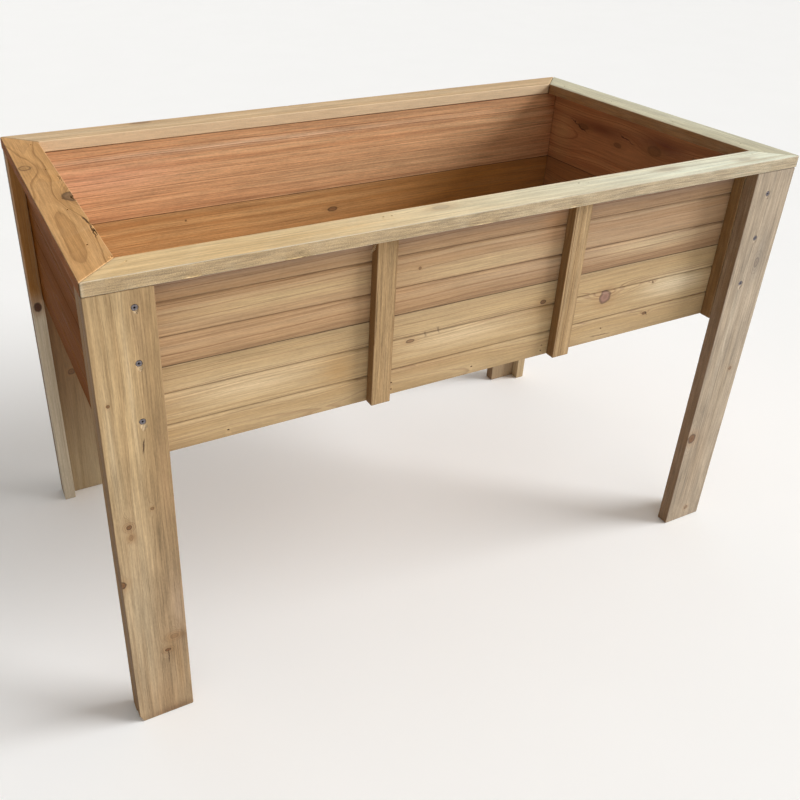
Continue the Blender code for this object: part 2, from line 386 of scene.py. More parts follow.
def add_checks(finish, wood, relief, timber, checks, seed):
    """Lay thin dark splits over the wood, each from one place to another along the grain."""
    if not checks:
        return wood, relief
    jitter = finish.cloud(timber.along * 90.0, timber.across * 90.0, seed) - 0.5
    for check in checks:
        start, end, width = check["start"], check["end"], check["width"]
        run = Vector(end) - Vector(start)
        length = run.length
        from_along = timber.along - start[0]
        from_across = timber.across - start[1]
        forward = (from_along * run.x + from_across * run.y) / length
        aside = (from_across * run.x - from_along * run.y) / length + jitter * check.get("wander", 0.004)
        inside = forward.step(-0.05 * length, 0.25 * length) * forward.step(1.05 * length, 0.7 * length)
        line = aside.size().step(width, width * 0.25) * inside * check.get("strength", 0.9)
        wood = finish.blend(line, wood, CHECK_COLOUR)
        relief = relief - line * 1.2
    return wood, relief


print("knots and checks ready")

# %% [markdown]
# ## The whole finish
# `cedar` puts it together. The earlywood colour drifts between two tones in long patches. The
# latewood darkens it, each year by its own amount. Fibres a fraction of a millimetre wide streak it
# along the grain. A board's arrises, marked by an attribute on its mesh, are paler, because sawing
# and handling bruise the fibres there. The faces that a saw left rough are darker and coarser, and
# the same mark also darkens faces turned from the light, as painted shade. The ends are darker too,
# because end grain swallows light. Grooves, pits and joints, marked by another attribute, get
# painted shade. `dress` gives a board its cedar.


# %% Cedar
SIDE_MARK_REACH = {"across": 0.0015, "deep": 0.0042}  # deep enough on a face for the grooves in it
BRUISED_PALER = 1.15
# How strongly, and how dark, painted shade fills the marked recesses.
RECESS_SHADE_SHARE = 0.92
RECESS_SHADE_DARKER = 0.20
END_GRAIN_REACH = 0.0022
END_GRAIN_SHADE = 0.30


def cedar(name, node, grain, face, woods, pith=(0.0, -0.05), lean=(0.0, 0.0), wander=0.012, year=0.0024,
          contrast=0.9, patches=0.5, knots=(), checks=(), rough_sides=(), seed=0.0, streaks=0.34, arris=0.35,
          drift=None, bands=0.6, stains=(), gloss=0.30, edge=None, mottle=0.22):
    """Cedar for one board, in a pale, a warm and a latewood colour, grown from the board's place and lie."""
    pale, warm, late = woods
    finish = Finish(name)
    timber = Timber(finish, node, grain, face)
    radius, measured = growth(finish, timber, pith, lean, wander, knots, seed)
    years = radius / year + finish.line_cloud(radius * 160.0 + seed) * 1.6
    part = years.fraction()
    latewood = part.step(0.42, 0.90) * part.step(1.0, 0.95)
    weight = finish.chance(years.whole() + seed)
    weight = weight * weight * 0.85 + 0.15
    band = finish.line_cloud(radius * 95.0 + seed * 3.0, 2.0)
    patch = finish.cloud(timber.along * 1.4 + seed, timber.across * 16.0, timber.deep * 16.0)
    fibre = finish.cloud(timber.along * 9.0, timber.across * 360.0 + seed, timber.deep * 360.0, 3.0, 0.62)
    hair = finish.cloud(timber.along * 40.0, timber.across * 1300.0, timber.deep * 1300.0 + seed)
    fleck = finish.cloud(timber.along * 160.0, timber.across * 620.0, timber.deep * 620.0 + seed, 2.0)

    tone = (patch + band * 0.9).step(0.95 - patches, 0.95 + patches * 0.55)
    wood = finish.blend(tone, pale, warm)
    if drift:
        start, stop, far_pale, far_warm = drift
        share = timber.along.step(start, stop)
        wood = finish.blend(share, wood, finish.blend(tone, far_pale, far_warm))
    wood = add_stains(finish, wood, timber, stains, patch * 0.5 + fibre * 0.5)
    lines = latewood * weight * contrast + (band - 0.5) * bands
    wood = finish.blend(lines.larger(0.0), wood, late)
    grain_light = (fibre - 0.5) * (streaks * 2.2) + (hair - 0.5) * streaks + (fleck - 0.5) * (streaks * 0.8)
    blotch = finish.cloud(timber.along * 10.0, timber.across * 45.0, timber.deep * 45.0 + seed, 3.0, 0.6)
    wood = finish.shade(wood, grain_light + (blotch - 0.5) * mottle + 1.0)
    relief = fibre * 0.45 + hair * 0.35 - latewood * weight * 0.45

    wood, relief = add_knots(finish, wood, relief, measured)
    wood, relief = add_checks(finish, wood, relief, timber, checks, seed)
    wood, relief = saw_marks_and_side_shade(finish, wood, relief, timber, rough_sides, seed)

    recess_shade = finish.attribute("recess_shade")
    torn = finish.attribute("torn")
    worn = (finish.attribute("arris") - recess_shade * 4.0).larger(0.0)
    bruised = edge or tinted(pale, BRUISED_PALER)
    wood = finish.blend(worn * arris * (fibre * 1.6 + 0.1), wood, bruised)
    wood = finish.blend(torn * 0.8, wood, finish.shade(pale, (fleck - 0.5) * 1.2 + 1.25))
    half = (timber.high[0] - timber.low[0]) / 2
    end = (timber.along - timber.middle[0]).size().step(half - END_GRAIN_REACH, half - 0.0004)
    wood = finish.shade(wood, 1.0 - end * END_GRAIN_SHADE)
    # Painted shade: the bottoms of grooves, pits, countersinks and board joints darken towards the latewood
    # colour.
    wood = finish.blend(recess_shade ** 3.0 * RECESS_SHADE_SHARE, wood, tinted(late, RECESS_SHADE_DARKER))
    grainy = finish.cloud(timber.along * 900.0, timber.across * 900.0, timber.deep * 900.0)
    relief = relief + end * grainy * 0.5 + torn * fleck * 1.5

    bump = finish.node("ShaderNodeBump", {}, {"Strength": 0.5, "Distance": 0.0006, "Height": relief})
    finish.put(finish.shader.inputs["Base Color"], wood)
    dull = (fibre - 0.5) * 0.16 - latewood * 0.10 + end * 0.2 + recess_shade * 0.2
    finish.put(finish.shader.inputs["Roughness"], dull + FIBRE_ROUGHNESS)
    finish.put(finish.shader.inputs["Normal"], bump.outputs[0])
    finish.shader.inputs["Specular IOR Level"].default_value = gloss
    return finish.material


def dress(piece, grain, face, woods, **details):
    """Give a board cedar of its own, named for its CAD node."""
    node = piece.name.removesuffix("_timber")
    piece.data.materials.append(cedar(node + "_cedar", node, grain, face, woods, **details))


def add_stains(finish, wood, timber, stains, cloud):
    """Tint soft patches of the board, real marks and some painted shade: (along, across, half length, half
    width, colour, share).
    """
    for along, across, long, wide, tint, share in stains:
        far = ((timber.along - along) / long) ** 2.0 + ((timber.across - across) / wide) ** 2.0
        near = (far * -1.0).exponent() * share
        wood = finish.blend((near * (cloud * 2.0 + 0.1)).smaller(1.0), wood, tint)
    return wood


def saw_marks_and_side_shade(finish, wood, relief, timber, rough_sides, seed):
    """Rough faces left by a saw, and painted shade on faces turned from the light: (axis, low or high side,
    colour, share, coarseness).
    """
    if not rough_sides:
        return wood, relief
    axes = {"across": (timber.across, 1), "deep": (timber.deep, 2)}
    tooth = finish.cloud(timber.along * 22.0 + seed, timber.across * 380.0, timber.deep * 380.0, 3.0, 0.65)
    fuzz = finish.cloud(timber.along * 620.0, timber.across * 700.0, timber.deep * 700.0 + seed, 3.0, 0.65)
    blotch = finish.cloud(timber.along * 16.0 + seed, timber.across * 60.0, timber.deep * 60.0)
    marks = (tooth - 0.5) * 1.1 + (fuzz - 0.5) * 0.8
    for axis, side, tint, share, coarse in rough_sides:
        spot, index = axes[axis]
        edge = timber.low[index] if side < 0 else timber.high[index]
        reach = SIDE_MARK_REACH[axis]
        rough = (spot - edge).size().step(reach, reach - 0.0010)
        wood = finish.blend(rough * (blotch * 0.7 + 0.65).smaller(1.0) * share, wood, tint)
        wood = finish.shade(wood, rough * marks * coarse + 1.0)
        relief = relief + rough * (tooth * 1.3 + fuzz * 1.5) * coarse
    return wood, relief


print("cedar ready")

# %% [markdown]
# ## A board
# A CAD board is a box with tiny chamfers. A real one has arrises that a hand plane or sandpaper has
# rounded, never evenly, and faces that rise and fall by a fraction of a millimetre. So a board here
# is a cube scaled to its CAD node's box, its long edges bevelled round, and its length divided often
# enough for the edges to waver. Each corner is then pushed in a little by smooth noise, and more
# where a nick is due. The push never goes outwards, so the board stays in its CAD box.

# %% Board shape
RING_EVERY = 0.006
ARRIS_SHARE = 0.29  # how far the normal of a 45 degree corner is from facing one axis


def box_shape(low, high):
    """A cube as a bmesh, filling the space between two corners."""
    shape = bmesh.new()
    bmesh.ops.create_cube(shape, size=1.0)
    bmesh.ops.scale(shape, vec=high - low, verts=shape.verts)
    bmesh.ops.translate(shape, vec=(low + high) / 2, verts=shape.verts)
    return shape


def round_edges(shape, width, segments=3, sharper_than=0.9):
    """Bevel every edge that turns by more than an angle, in radians."""
    edges = [edge for edge in shape.edges if edge.calc_face_angle(0.0) > sharper_than]
    bmesh.ops.bevel(shape, geom=edges, affect="EDGES", offset=width, offset_type="OFFSET",
                    segments=segments, profile=0.5, material=-1, clamp_overlap=True)


def divide_length(shape, axis, spacing=RING_EVERY):
    """Divide the long edges that run along one axis, so that the board can waver."""
    direction = Vector([1.0 if i == axis else 0.0 for i in range(3)])
    runs = [edge for edge in shape.edges
            if edge.calc_length() > 3 * spacing
            and abs((edge.verts[1].co - edge.verts[0].co).normalized().dot(direction)) > 0.999]
    longest = max(edge.calc_length() for edge in runs)
    bmesh.ops.subdivide_edges(shape, edges=runs, cuts=int(longest / spacing), use_grid_fill=True)


def weather(shape, wear, seed, nicks=0.5):
    """Push the corners in by smooth noise, and deeper at a few nicks."""
    shape.normal_update()
    moves = []
    for vert in shape.verts:
        facing = max(abs(part) for part in vert.normal)
        corner = min(1.0, (1.0 - facing) / ARRIS_SHARE)
        spot = vert.co + Vector((seed, seed * 0.7, 0.0))
        slow = 0.5 + 0.5 * noise.noise(spot * 22.0)
        quick = max(0.0, noise.noise(spot * 95.0 + Vector((9.0, 0.0, 0.0))) - 0.28)
        flat = 0.5 + 0.5 * noise.noise(spot * 7.0)
        push = corner * wear * (slow + nicks * 3.0 * quick) + 0.00012 * flat
        moves.append((vert, vert.normal * push))
    for vert, move in moves:
        vert.co -= move


def mark_arrises(mesh):
    """Store how much each point lies on a corner, for the finish to lighten."""
    marks = mesh.attributes.new("arris", "FLOAT", "POINT")
    for vert in mesh.vertices:
        facing = max(abs(part) for part in vert.normal)
        marks.data[vert.index].value = min(1.0, (1.0 - facing) / ARRIS_SHARE)


def crisp(piece):
    """Shade the flats as flat and the rounded edges as round."""
    piece.data.shade_smooth()
    piece.data.set_sharp_from_angle(angle=math.radians(38.0))
    modifier = piece.modifiers.new("flat_faces", "WEIGHTED_NORMAL")
    modifier.keep_sharp = True


def settle(name, shape, slot, *nodes):
    """Turn a bmesh into a piece that stands for its CAD nodes and rides with the planter."""
    mesh = bpy.data.meshes.new(name)
    bmesh.ops.recalc_face_normals(shape, faces=shape.faces)
    shape.to_mesh(mesh)
    shape.free()
    mark_arrises(mesh)
    piece = bpy.data.objects.new(name, mesh)
    scene.collection.objects.link(piece)
    crisp(piece)
    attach(piece, "root")
    if nodes:
        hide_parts(*nodes)
    return piece


def grow_rim(shape, rim, share, level):
    """Extrude an open rim, scale it about the Z axis and set its height. Gives back the new rim."""
    grown = bmesh.ops.extrude_edge_only(shape, edges=rim)["geom"]
    verts = [item for item in grown if isinstance(item, bmesh.types.BMVert)]
    bmesh.ops.scale(shape, vec=(share, share, 1.0), verts=verts)
    for vert in verts:
        vert.co.z = level
    return [item for item in grown if isinstance(item, bmesh.types.BMEdge)
            and all(vert in verts for vert in item.verts)]


def saw_off(shape, point, direction):
    """Saw off what lies beyond a plane, and close the cut."""
    everything = shape.verts[:] + shape.edges[:] + shape.faces[:]
    cut = bmesh.ops.bisect_plane(shape, geom=everything, plane_co=point, plane_no=direction,
                                 clear_outer=True)
    rim = [item for item in cut["geom_cut"] if isinstance(item, bmesh.types.BMEdge)]
    bmesh.ops.edgeloop_fill(shape, edges=rim)


def straight_board(node, grain, slot, edge=0.0014, wear=0.00035, seed=0.0, nicks=0.5, corner_off=None):
    """A plain board in place of a CAD node, with a corner sawn off if a point and a direction are given."""
    shape = box_shape(*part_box(node))
    if corner_off:
        saw_off(shape, *corner_off)
    round_edges(shape, edge)
    divide_length(shape, AXES.index(grain))
    weather(shape, wear, seed, nicks)
    return settle(node + "_timber", shape, slot, node)


print("board tools ready")

# %% [markdown]
# ## Holes for the nails and screws
# A nail gun leaves a small pit with the brad's narrow head at its bottom. Cutting the pits with one
# Boolean for each board is simpler than weaving them into its mesh, and the result is applied, so
# that the finished piece is plain mesh.

# %% Pits
FACINGS = {"up": Matrix.Identity(4), "front": Matrix.Rotation(math.pi / 2, 4, "X"),
           "back": Matrix.Rotation(-math.pi / 2, 4, "X")}
BRAD_PIT_RADIUS = 0.0014
BRAD_PIT_STRETCH = 1.7
BRAD_PIT_DEPTH = 0.0015
BRAD_HEAD_RADIUS = 0.0007
BRAD_HEAD_DEPTH = 0.0016
CUT_TOLERANCE = 0.00001
FULL_MARK_DEPTH = 0.0007
ALONG_X = Vector((1.0, 0.0, 0.0))
ALONG_Y = Vector((0.0, 1.0, 0.0))


def cone_at(shape, place, facing, top_radius, bottom_radius, depth, proud=0.0006, sides=14):
    """Add a cone that opens towards its facing, sunk below place. Gives back its points."""
    lift = Matrix.Translation(Vector((0.0, 0.0, (proud - depth) / 2)))
    made = bmesh.ops.create_cone(shape, cap_ends=True, segments=sides, radius1=bottom_radius,
                                 radius2=top_radius, depth=depth + proud,
                                 matrix=Matrix.Translation(place) @ FACINGS[facing] @ lift)
    return made["verts"]


def cut_pits(piece, cutter_shape, mark="recess_shade"):
    """Take the cutter's solids out of a piece, and mark the new surface by its depth."""
    skin_shape = bmesh.new()
    skin_shape.from_mesh(piece.data)
    skin = BVHTree.FromBMesh(skin_shape)
    skin_shape.free()
    tool = BVHTree.FromBMesh(cutter_shape)
    cutter_mesh = bpy.data.meshes.new("pit_cutter")
    cutter_shape.to_mesh(cutter_mesh)
    cutter_shape.free()
    cutter = bpy.data.objects.new("pit_cutter", cutter_mesh)
    scene.collection.objects.link(cutter)
    piece.modifiers.clear()
    modifier = piece.modifiers.new("pits", "BOOLEAN")
    modifier.solver = "EXACT"
    modifier.object = cutter
    bpy.context.view_layer.update()
    result = bpy.data.meshes.new_from_object(piece.evaluated_get(bpy.context.evaluated_depsgraph_get()))
    piece.modifiers.clear()
    result.name = piece.name
    piece.data = result
    bpy.data.objects.remove(cutter)
    marks = result.attributes.get(mark) or result.attributes.new(mark, "FLOAT", "POINT")
    for vert in result.vertices:
        if tool.find_nearest(vert.co)[3] < CUT_TOLERANCE:
            depth = skin.find_nearest(vert.co)[3]
            marks.data[vert.index].value = min(1.0, depth / FULL_MARK_DEPTH)
    crisp(piece)


def add_bite(shape, place, reach, seed):
    """Add an uneven lump, to bite a chip or a hollow out of a board."""
    made = bmesh.ops.create_icosphere(shape, subdivisions=3, radius=1.0)
    for vert in made["verts"]:
        uneven = 1.0 + 0.45 * noise.noise(vert.co * 1.9 + Vector((seed, 0.0, 0.0)))
        vert.co = Vector(place) + Vector([part * size * uneven for part, size in zip(vert.co, reach)])


def bite(piece, bites, mark="recess_shade"):
    """Bite several lumps out of a piece: (place, reach, seed) for each."""
    cutters = bmesh.new()
    for place, reach, seed in bites:
        add_bite(cutters, place, reach, seed)
    cut_pits(piece, cutters, mark)


def nail(piece, spots, facing, grain, steel):
    """Cut a pit for each brad, and set the brads' heads in them as one piece."""
    pits = bmesh.new()
    heads = bmesh.new()
    for spot in spots:
        pit = cone_at(pits, spot, facing, BRAD_PIT_RADIUS, BRAD_PIT_RADIUS * 0.75, BRAD_PIT_DEPTH)
        stretch = Matrix.Scale(BRAD_PIT_STRETCH, 4, grain)
        about = Matrix.Translation(spot) @ stretch @ Matrix.Translation(-Vector(spot))
        bmesh.ops.transform(pits, matrix=about, verts=pit)
        sunk = Vector(spot) - (FACINGS[facing] @ Vector((0.0, 0.0, BRAD_PIT_DEPTH * 0.9)))
        cone_at(heads, sunk, facing, BRAD_HEAD_RADIUS, BRAD_HEAD_RADIUS * 0.9, BRAD_HEAD_DEPTH,
                proud=0.0001, sides=10)
    cut_pits(piece, pits)
    brads = settle(piece.name.replace("_timber", "") + "_brads", heads, "screw_steel")
    brads.data.materials.append(steel)


print("pit tools ready")

# %% [markdown]
# ## Steel
# The screws have a dull coating that is worn bright where the driver bit has turned. The brads are
# bare steel wire. Both share one finish: dark grey with a mottled roughness.


# %% Screw steel
def coated_steel():
    """Dull coated steel, mottled, with a little wear on its edges."""
    finish = Finish("coated_steel")
    x, y, z = finish.place()
    mottle = finish.cloud(x * 900.0, y * 900.0, z * 900.0, 3.0)
    scratch = finish.cloud(x * 2600.0, y * 300.0, z * 2600.0, 2.0)
    worn = finish.attribute("arris") * 0.6
    base = finish.blend(mottle, (0.040, 0.031, 0.034), (0.105, 0.084, 0.092))
    base = finish.blend(worn * scratch, base, (0.66, 0.62, 0.64))
    # Painted shade: the screws' star sockets are darkened nearly to black.
    base = finish.blend(finish.attribute("recess_shade") * 0.9, base, (0.012, 0.010, 0.012))
    bump = finish.node("ShaderNodeBump", {}, {"Strength": 0.3, "Distance": 0.0001, "Height": scratch})
    finish.put(finish.shader.inputs["Base Color"], base)
    finish.put(finish.shader.inputs["Roughness"], 0.40 + mottle * 0.24)
    finish.put(finish.shader.inputs["Normal"], bump.outputs[0])
    finish.shader.inputs["Metallic"].default_value = 0.9
    return finish.material


STEEL = coated_steel()
print("steel ready")

# %% [markdown]
# ## The cap rail
# Four flat boards lie on top of the box, mitred at 45 degrees where they meet. A mitre is a straight
# saw cut, so each board starts as a full-length box and two planes slice its ends off. The saw also
# left the front and back rails' outer faces rough. The left rail's outer face and the right rail's
# inner face, turned from the light, are painted dark as shade, with the same saw marks.

# %% Cap boards
CAP_EDGE = 0.0016
MITRE_GAP = 0.00025


def cap_board(side, seed, wear):
    """One mitred rail, sawn from a straight board."""
    node = "cap_rail_" + side
    low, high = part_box(node)
    outer_low, outer_high = cad_box
    lengthwise = 0 if side in ("front", "back") else 1
    low[lengthwise], high[lengthwise] = outer_low[lengthwise], outer_high[lengthwise]
    shape = box_shape(low, high)
    outer_edge = outer_low if side in ("front", "left") else outer_high
    for end in (-1, 1):
        corner = Vector((outer_edge.x, outer_edge.y, 0.0))
        corner[lengthwise] = end * outer_high[lengthwise]
        beyond = mitre_direction(side, end)
        saw_off(shape, corner - beyond * MITRE_GAP, beyond)
    round_edges(shape, CAP_EDGE, sharper_than=0.5)
    divide_length(shape, lengthwise, 0.005)
    weather(shape, wear, seed, 0.8)
    return settle(node + "_timber", shape, "cap_cedar", node)


def mitre_direction(side, end):
    """The way out of a rail, square to its mitre."""
    inward = {"front": (0, 1), "back": (0, -1), "left": (1, 0), "right": (-1, 0)}[side]
    along = (end, 0) if side in ("front", "back") else (0, end)
    return Vector((along[0] + inward[0], along[1] + inward[1], 0.0)).normalized()


cap_front = cap_board("front", 3.0, 0.00055)
cap_back = cap_board("back", 5.0, 0.00035)
cap_left = cap_board("left", 7.0, 0.00045)
cap_right = cap_board("right", 11.0, 0.00035)
cap_boards = (cap_front, cap_back, cap_left, cap_right)
print("cap boards:", [len(piece.data.polygons) for piece in cap_boards], "faces")

# %% [markdown]
# ### Brads in the cap
# The brads go down through the cap into the legs and walls. Their places are listed, some in pairs.
# The cap also has its damage: a knot at the left rail's inner edge has lost its heart, the back
# rail has a nick, and the saw tore splinters from the front rail's lower edge.

# %% Cap brads
cap_top = cad_box[1].z


def on_cap(*spots):
    """Places on the cap's top, from their x and y."""
    return [Vector((x, y, cap_top - 0.0001)) for x, y in spots]


FRONT_CAP_BRADS = on_cap((-0.543, -0.288), (-0.181, -0.287), (-0.168, -0.288), (0.166, -0.285),
                         (0.182, -0.288), (0.541, -0.287))
LEFT_CAP_BRADS = on_cap((-0.568, 0.257), (-0.5695, 0.111), (-0.573, -0.081), (-0.575, -0.217))
BACK_CAP_BRADS = on_cap((-0.531, 0.290), (-0.176, 0.288), (0.171, 0.287), (0.536, 0.289))
RIGHT_CAP_BRADS = on_cap((0.570, 0.240), (0.573, 0.094), (0.571, -0.076), (0.574, -0.233))
nail(cap_front, FRONT_CAP_BRADS, "up", ALONG_X, STEEL)
nail(cap_back, BACK_CAP_BRADS, "up", ALONG_X, STEEL)
nail(cap_left, LEFT_CAP_BRADS, "up", ALONG_Y, STEEL)
nail(cap_right, RIGHT_CAP_BRADS, "up", ALONG_Y, STEEL)
bite(cap_left, [((-0.5545, -0.034, cap_top - 0.001), (0.0066, 0.0110, 0.0050), 3.0),
                ((-0.5530, -0.1430, cap_top - 0.001), (0.0022, 0.0100, 0.0030), 5.0),
                ((-0.5550, -0.1760, cap_top), (0.0010, 0.0150, 0.0022), 8.0)])
bite(cap_left, [((-0.5560, -0.2680, cap_top), (0.0040, 0.0032, 0.0016), 6.0),
                ((-0.5570, 0.0600, cap_top + 0.0004), (0.0024, 0.0160, 0.0016), 9.0)], "torn")
bite(cap_back, [((-0.060, 0.3275, cap_top - 0.001), (0.0105, 0.0035, 0.0050), 1.0)])
bite(cap_front, [((-0.470, -0.3272, cap_top - 0.0200), (0.0130, 0.0016, 0.0022), 2.0),
                 ((-0.330, -0.3272, cap_top - 0.0203), (0.0240, 0.0013, 0.0020), 4.0),
                 ((-0.040, -0.3272, cap_top - 0.0203), (0.0300, 0.0013, 0.0020), 7.0),
                 ((0.130, -0.3272, cap_top - 0.0202), (0.0160, 0.0014, 0.0022), 9.0)], "torn")
print("cap brads:", len(FRONT_CAP_BRADS + LEFT_CAP_BRADS + BACK_CAP_BRADS + RIGHT_CAP_BRADS))

# %% [markdown]
# ### The cap's timber
# Each rail is from another board. The front and right rails are pale sapwood, almost cream. The left
# rail is warmer, and a large knot has lost part of its heart at the inner edge.

# %% Cap timber
SAWN = (0.34, 0.235, 0.125)
dress(cap_front, "X", "Z", ((0.80, 0.60, 0.31), (0.70, 0.48, 0.23), (0.46, 0.31, 0.15)),
    pith=(0.030, -0.040), lean=(0.01, 0.004), wander=0.012, year=0.0026, seed=1.7,
    drift=(-0.45, 0.50, (0.86, 0.90, 0.74), (0.80, 0.78, 0.60)),
    rough_sides=(("across", -1, SAWN, 0.85, 1.5),), bands=0.22, contrast=0.42, streaks=0.42, mottle=0.36,
    arris=0.6, edge=(0.88, 0.82, 0.66),
    stains=((0.02, -0.300, 0.10, 0.006, (0.52, 0.46, 0.30), 0.5),
            (0.22, -0.308, 0.09, 0.004, (0.55, 0.50, 0.36), 0.6),
            (0.36, -0.292, 0.14, 0.005, (0.56, 0.54, 0.42), 0.5),
            (-0.30, -0.302, 0.10, 0.007, (0.62, 0.42, 0.19), 0.5),
            (0.52, -0.314, 0.07, 0.004, (0.50, 0.42, 0.28), 0.6)),
    knots=(knot_at(-0.086, -0.2875, 0.0065, stretch=2.0, strength=0.35, rim=0.25,
                   colour=(0.34, 0.29, 0.22), dark=(0.22, 0.18, 0.13)),
           knot_at(0.345, -0.290, 0.0055, stretch=2.6, strength=0.30, rim=0.2, colour=(0.42, 0.38, 0.30),
                   dark=(0.30, 0.27, 0.2)),
           knot_at(0.505, -0.303, 0.0040, stretch=3.2, strength=0.4, rim=0.2, colour=(0.42, 0.38, 0.30),
                   dark=(0.30, 0.27, 0.2))))
dress(cap_back, "X", "Z", ((0.69, 0.51, 0.31), (0.58, 0.39, 0.21), (0.36, 0.21, 0.10)),
    rough_sides=(("across", -1, (0.82, 0.62, 0.40), 0.8, 0.4), ("across", 1, SAWN, 0.7, 1.5)), bands=0.35,
    contrast=0.5, pith=(0.03, -0.05), wander=0.03, year=0.0030, seed=12.3, streaks=0.45, mottle=0.45,
    knots=(knot_at(-0.36, 0.318, 0.006, stretch=3.0, strength=0.5, rim=0.4),))
dress(cap_left, "Y", "Z", ((0.64, 0.37, 0.16), (0.53, 0.285, 0.11), (0.33, 0.165, 0.06)),
    pith=(-0.004, -0.03), wander=0.03, year=0.0048, seed=23.1,
    # Painted shade: the left rail's outer face is darkened to a deep brown, with saw marks.
    rough_sides=(("across", -1, (0.20, 0.055, 0.004), 1.2, 1.0),), gloss=0.02, edge=(0.84, 0.68, 0.44),
    knots=(knot_at(-0.028, -0.5570, 0.0120, stretch=1.5, strength=0.85, rim=0.85,
                   colour=(0.22, 0.13, 0.07), dark=(0.10, 0.055, 0.03), swell=1.6),
           knot_at(0.130, -0.598, 0.0085, stretch=1.3, strength=0.15, rim=0.8, colour=(0.42, 0.26, 0.11),
                   dark=(0.15, 0.08, 0.035))),
    checks=(check_between((-0.115, -0.560), (-0.150, -0.556), 0.0022),
            check_between((-0.145, -0.556), (-0.205, -0.560), 0.0016, wander=0.010)))
dress(cap_right, "Y", "Z", ((0.64, 0.62, 0.47), (0.54, 0.49, 0.33), (0.37, 0.31, 0.20)),
    # Painted shade: the right rail's inner face, turned from the light, is darkened, with saw marks.
    rough_sides=(("across", -1, (0.36, 0.18, 0.060), 1.0, 1.2),), bands=0.25, contrast=0.45, arris=0.6,
    streaks=0.5, mottle=0.45, edge=(0.80, 0.76, 0.60), pith=(-0.03, -0.04), wander=0.02, year=0.0034,
    seed=31.9)
print("cap timber done")

# %% [markdown]
# ## The legs
# A leg is a wide board with a narrow strip behind its outer edge, so from above it is an L. Three
# screws hold each board to the block behind it. Their heads are sunk in small countersinks.

# %% Leg boards and strips
CORNERS = [(side, end) for side in ("front", "back") for end in ("left", "right")]
leg_boards = {}
leg_strips = {}
worn_foot = (Vector((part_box("leg_board_front_left")[0].x + 0.0055, 0.0, 0.0)), Vector((-1.0, 0.0, -0.42)))
for number, (side, end) in enumerate(CORNERS):
    corner = f"{side}_{end}"
    leg_boards[corner] = straight_board(
        "leg_board_" + corner, "Z", "leg_cedar", 0.0018, 0.00055, 41.0 + number,
        corner_off=worn_foot if corner == "front_left" else None)
    leg_strips[corner] = straight_board(
        "leg_strip_" + corner, "Z", "leg_cedar", 0.0013, 0.00035, 61.0 + number)
print("legs:", len(leg_boards), "boards and", len(leg_strips), "strips")

# %% [markdown]
# ### Leg screws
# A deck screw's head is a shallow cone with a star-shaped socket. The shank is drawn from the head's
# circle down to the point. The circle's face is then inset, pushed in and out six times round to
# make the star, and sunk.

# %% Screw shape
SCREW_SIDES = 36
STAR_POINTS = 6
SOCKET_RADIUS = 0.0019
SOCKET_DEPTH = 0.0017
SOCKET_TAPER = 0.94
LOBE_HEIGHT = 0.16
LOBE_SIZE = 0.86


def screw_shape(head_radius, head_height, shank_radius, length):
    """A countersunk screw that points along -Z, its head's rim at z = 0."""
    shape = bmesh.new()
    bmesh.ops.create_circle(shape, cap_ends=True, segments=SCREW_SIDES, radius=head_radius)
    shape.faces.ensure_lookup_table()
    socket_face = shape.faces[0]
    down = [(shank_radius, -head_height), (shank_radius, -length * 0.85), (shank_radius * 0.12, -length)]
    rim = shape.edges[:]
    radius = head_radius
    for next_radius, level in down:
        rim = grow_rim(shape, rim, next_radius / radius, level)
        radius = next_radius
    bmesh.ops.edgeloop_fill(shape, edges=rim)
    bmesh.ops.inset_individual(shape, faces=[socket_face], thickness=head_radius - SOCKET_RADIUS)
    star(socket_face.verts, SOCKET_RADIUS)
    socket_face = bmesh.ops.extrude_discrete_faces(shape, faces=[socket_face])["faces"][0]
    bmesh.ops.scale(shape, vec=(SOCKET_TAPER, SOCKET_TAPER, 1.0), verts=socket_face.verts)
    bmesh.ops.translate(shape, vec=(0.0, 0.0, -SOCKET_DEPTH), verts=socket_face.verts)
    bmesh.ops.remove_doubles(shape, verts=shape.verts, dist=0.00001)
    return shape


def star(verts, radius):
    """Push a ring in and out to a six-pointed star with round points."""
    for vert in verts:
        angle = math.atan2(vert.co.y, vert.co.x)
        wave = 1.0 + LOBE_HEIGHT * math.cos(STAR_POINTS * angle)
        vert.co.x = radius * wave * math.cos(angle) * LOBE_SIZE
        vert.co.y = radius * wave * math.sin(angle) * LOBE_SIZE


# %% Screws and countersinks
COUNTERSINK_MARGIN = 0.0009
HEAD_HEIGHT = 0.0034
SHANK_RADIUS = 0.0021
SCREW_NUMBERS = (1, 2, 3)


def leg_screw(corner, number):
    """A detailed screw in place of a CAD screw, turned by its own amount."""
    node = f"leg_screw_{corner}_{number}"
    low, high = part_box(node)
    facing = corner.split("_")[0]
    radius = (high.x - low.x) / 2
    middle = (low + high) / 2
    mouth = Vector((middle.x, low.y if facing == "front" else high.y, middle.z))
    shape = screw_shape(radius, HEAD_HEIGHT, SHANK_RADIUS, high.y - low.y)
    turn = Matrix.Rotation(number * 1.1 + len(corner), 4, "Z")
    bmesh.ops.transform(shape, matrix=Matrix.Translation(mouth) @ FACINGS[facing] @ turn, verts=shape.verts)
    screw = settle(node + "_detail", shape, "screw_steel", node)
    # Mark the star socket for the painted shade in the steel's finish.
    sockets = screw.data.attributes.new("recess_shade", "FLOAT", "POINT")
    inward = 1.0 if facing == "front" else -1.0
    for vert in screw.data.vertices:
        from_axis = math.hypot(vert.co.x - mouth.x, vert.co.z - mouth.z)
        deep_in = (vert.co.y - mouth.y) * inward > SOCKET_DEPTH * 0.5
        sockets.data[vert.index].value = 1.0 if deep_in and from_axis < SOCKET_RADIUS * 1.2 else 0.0
    screw.data.materials.append(STEEL)
    return mouth, radius


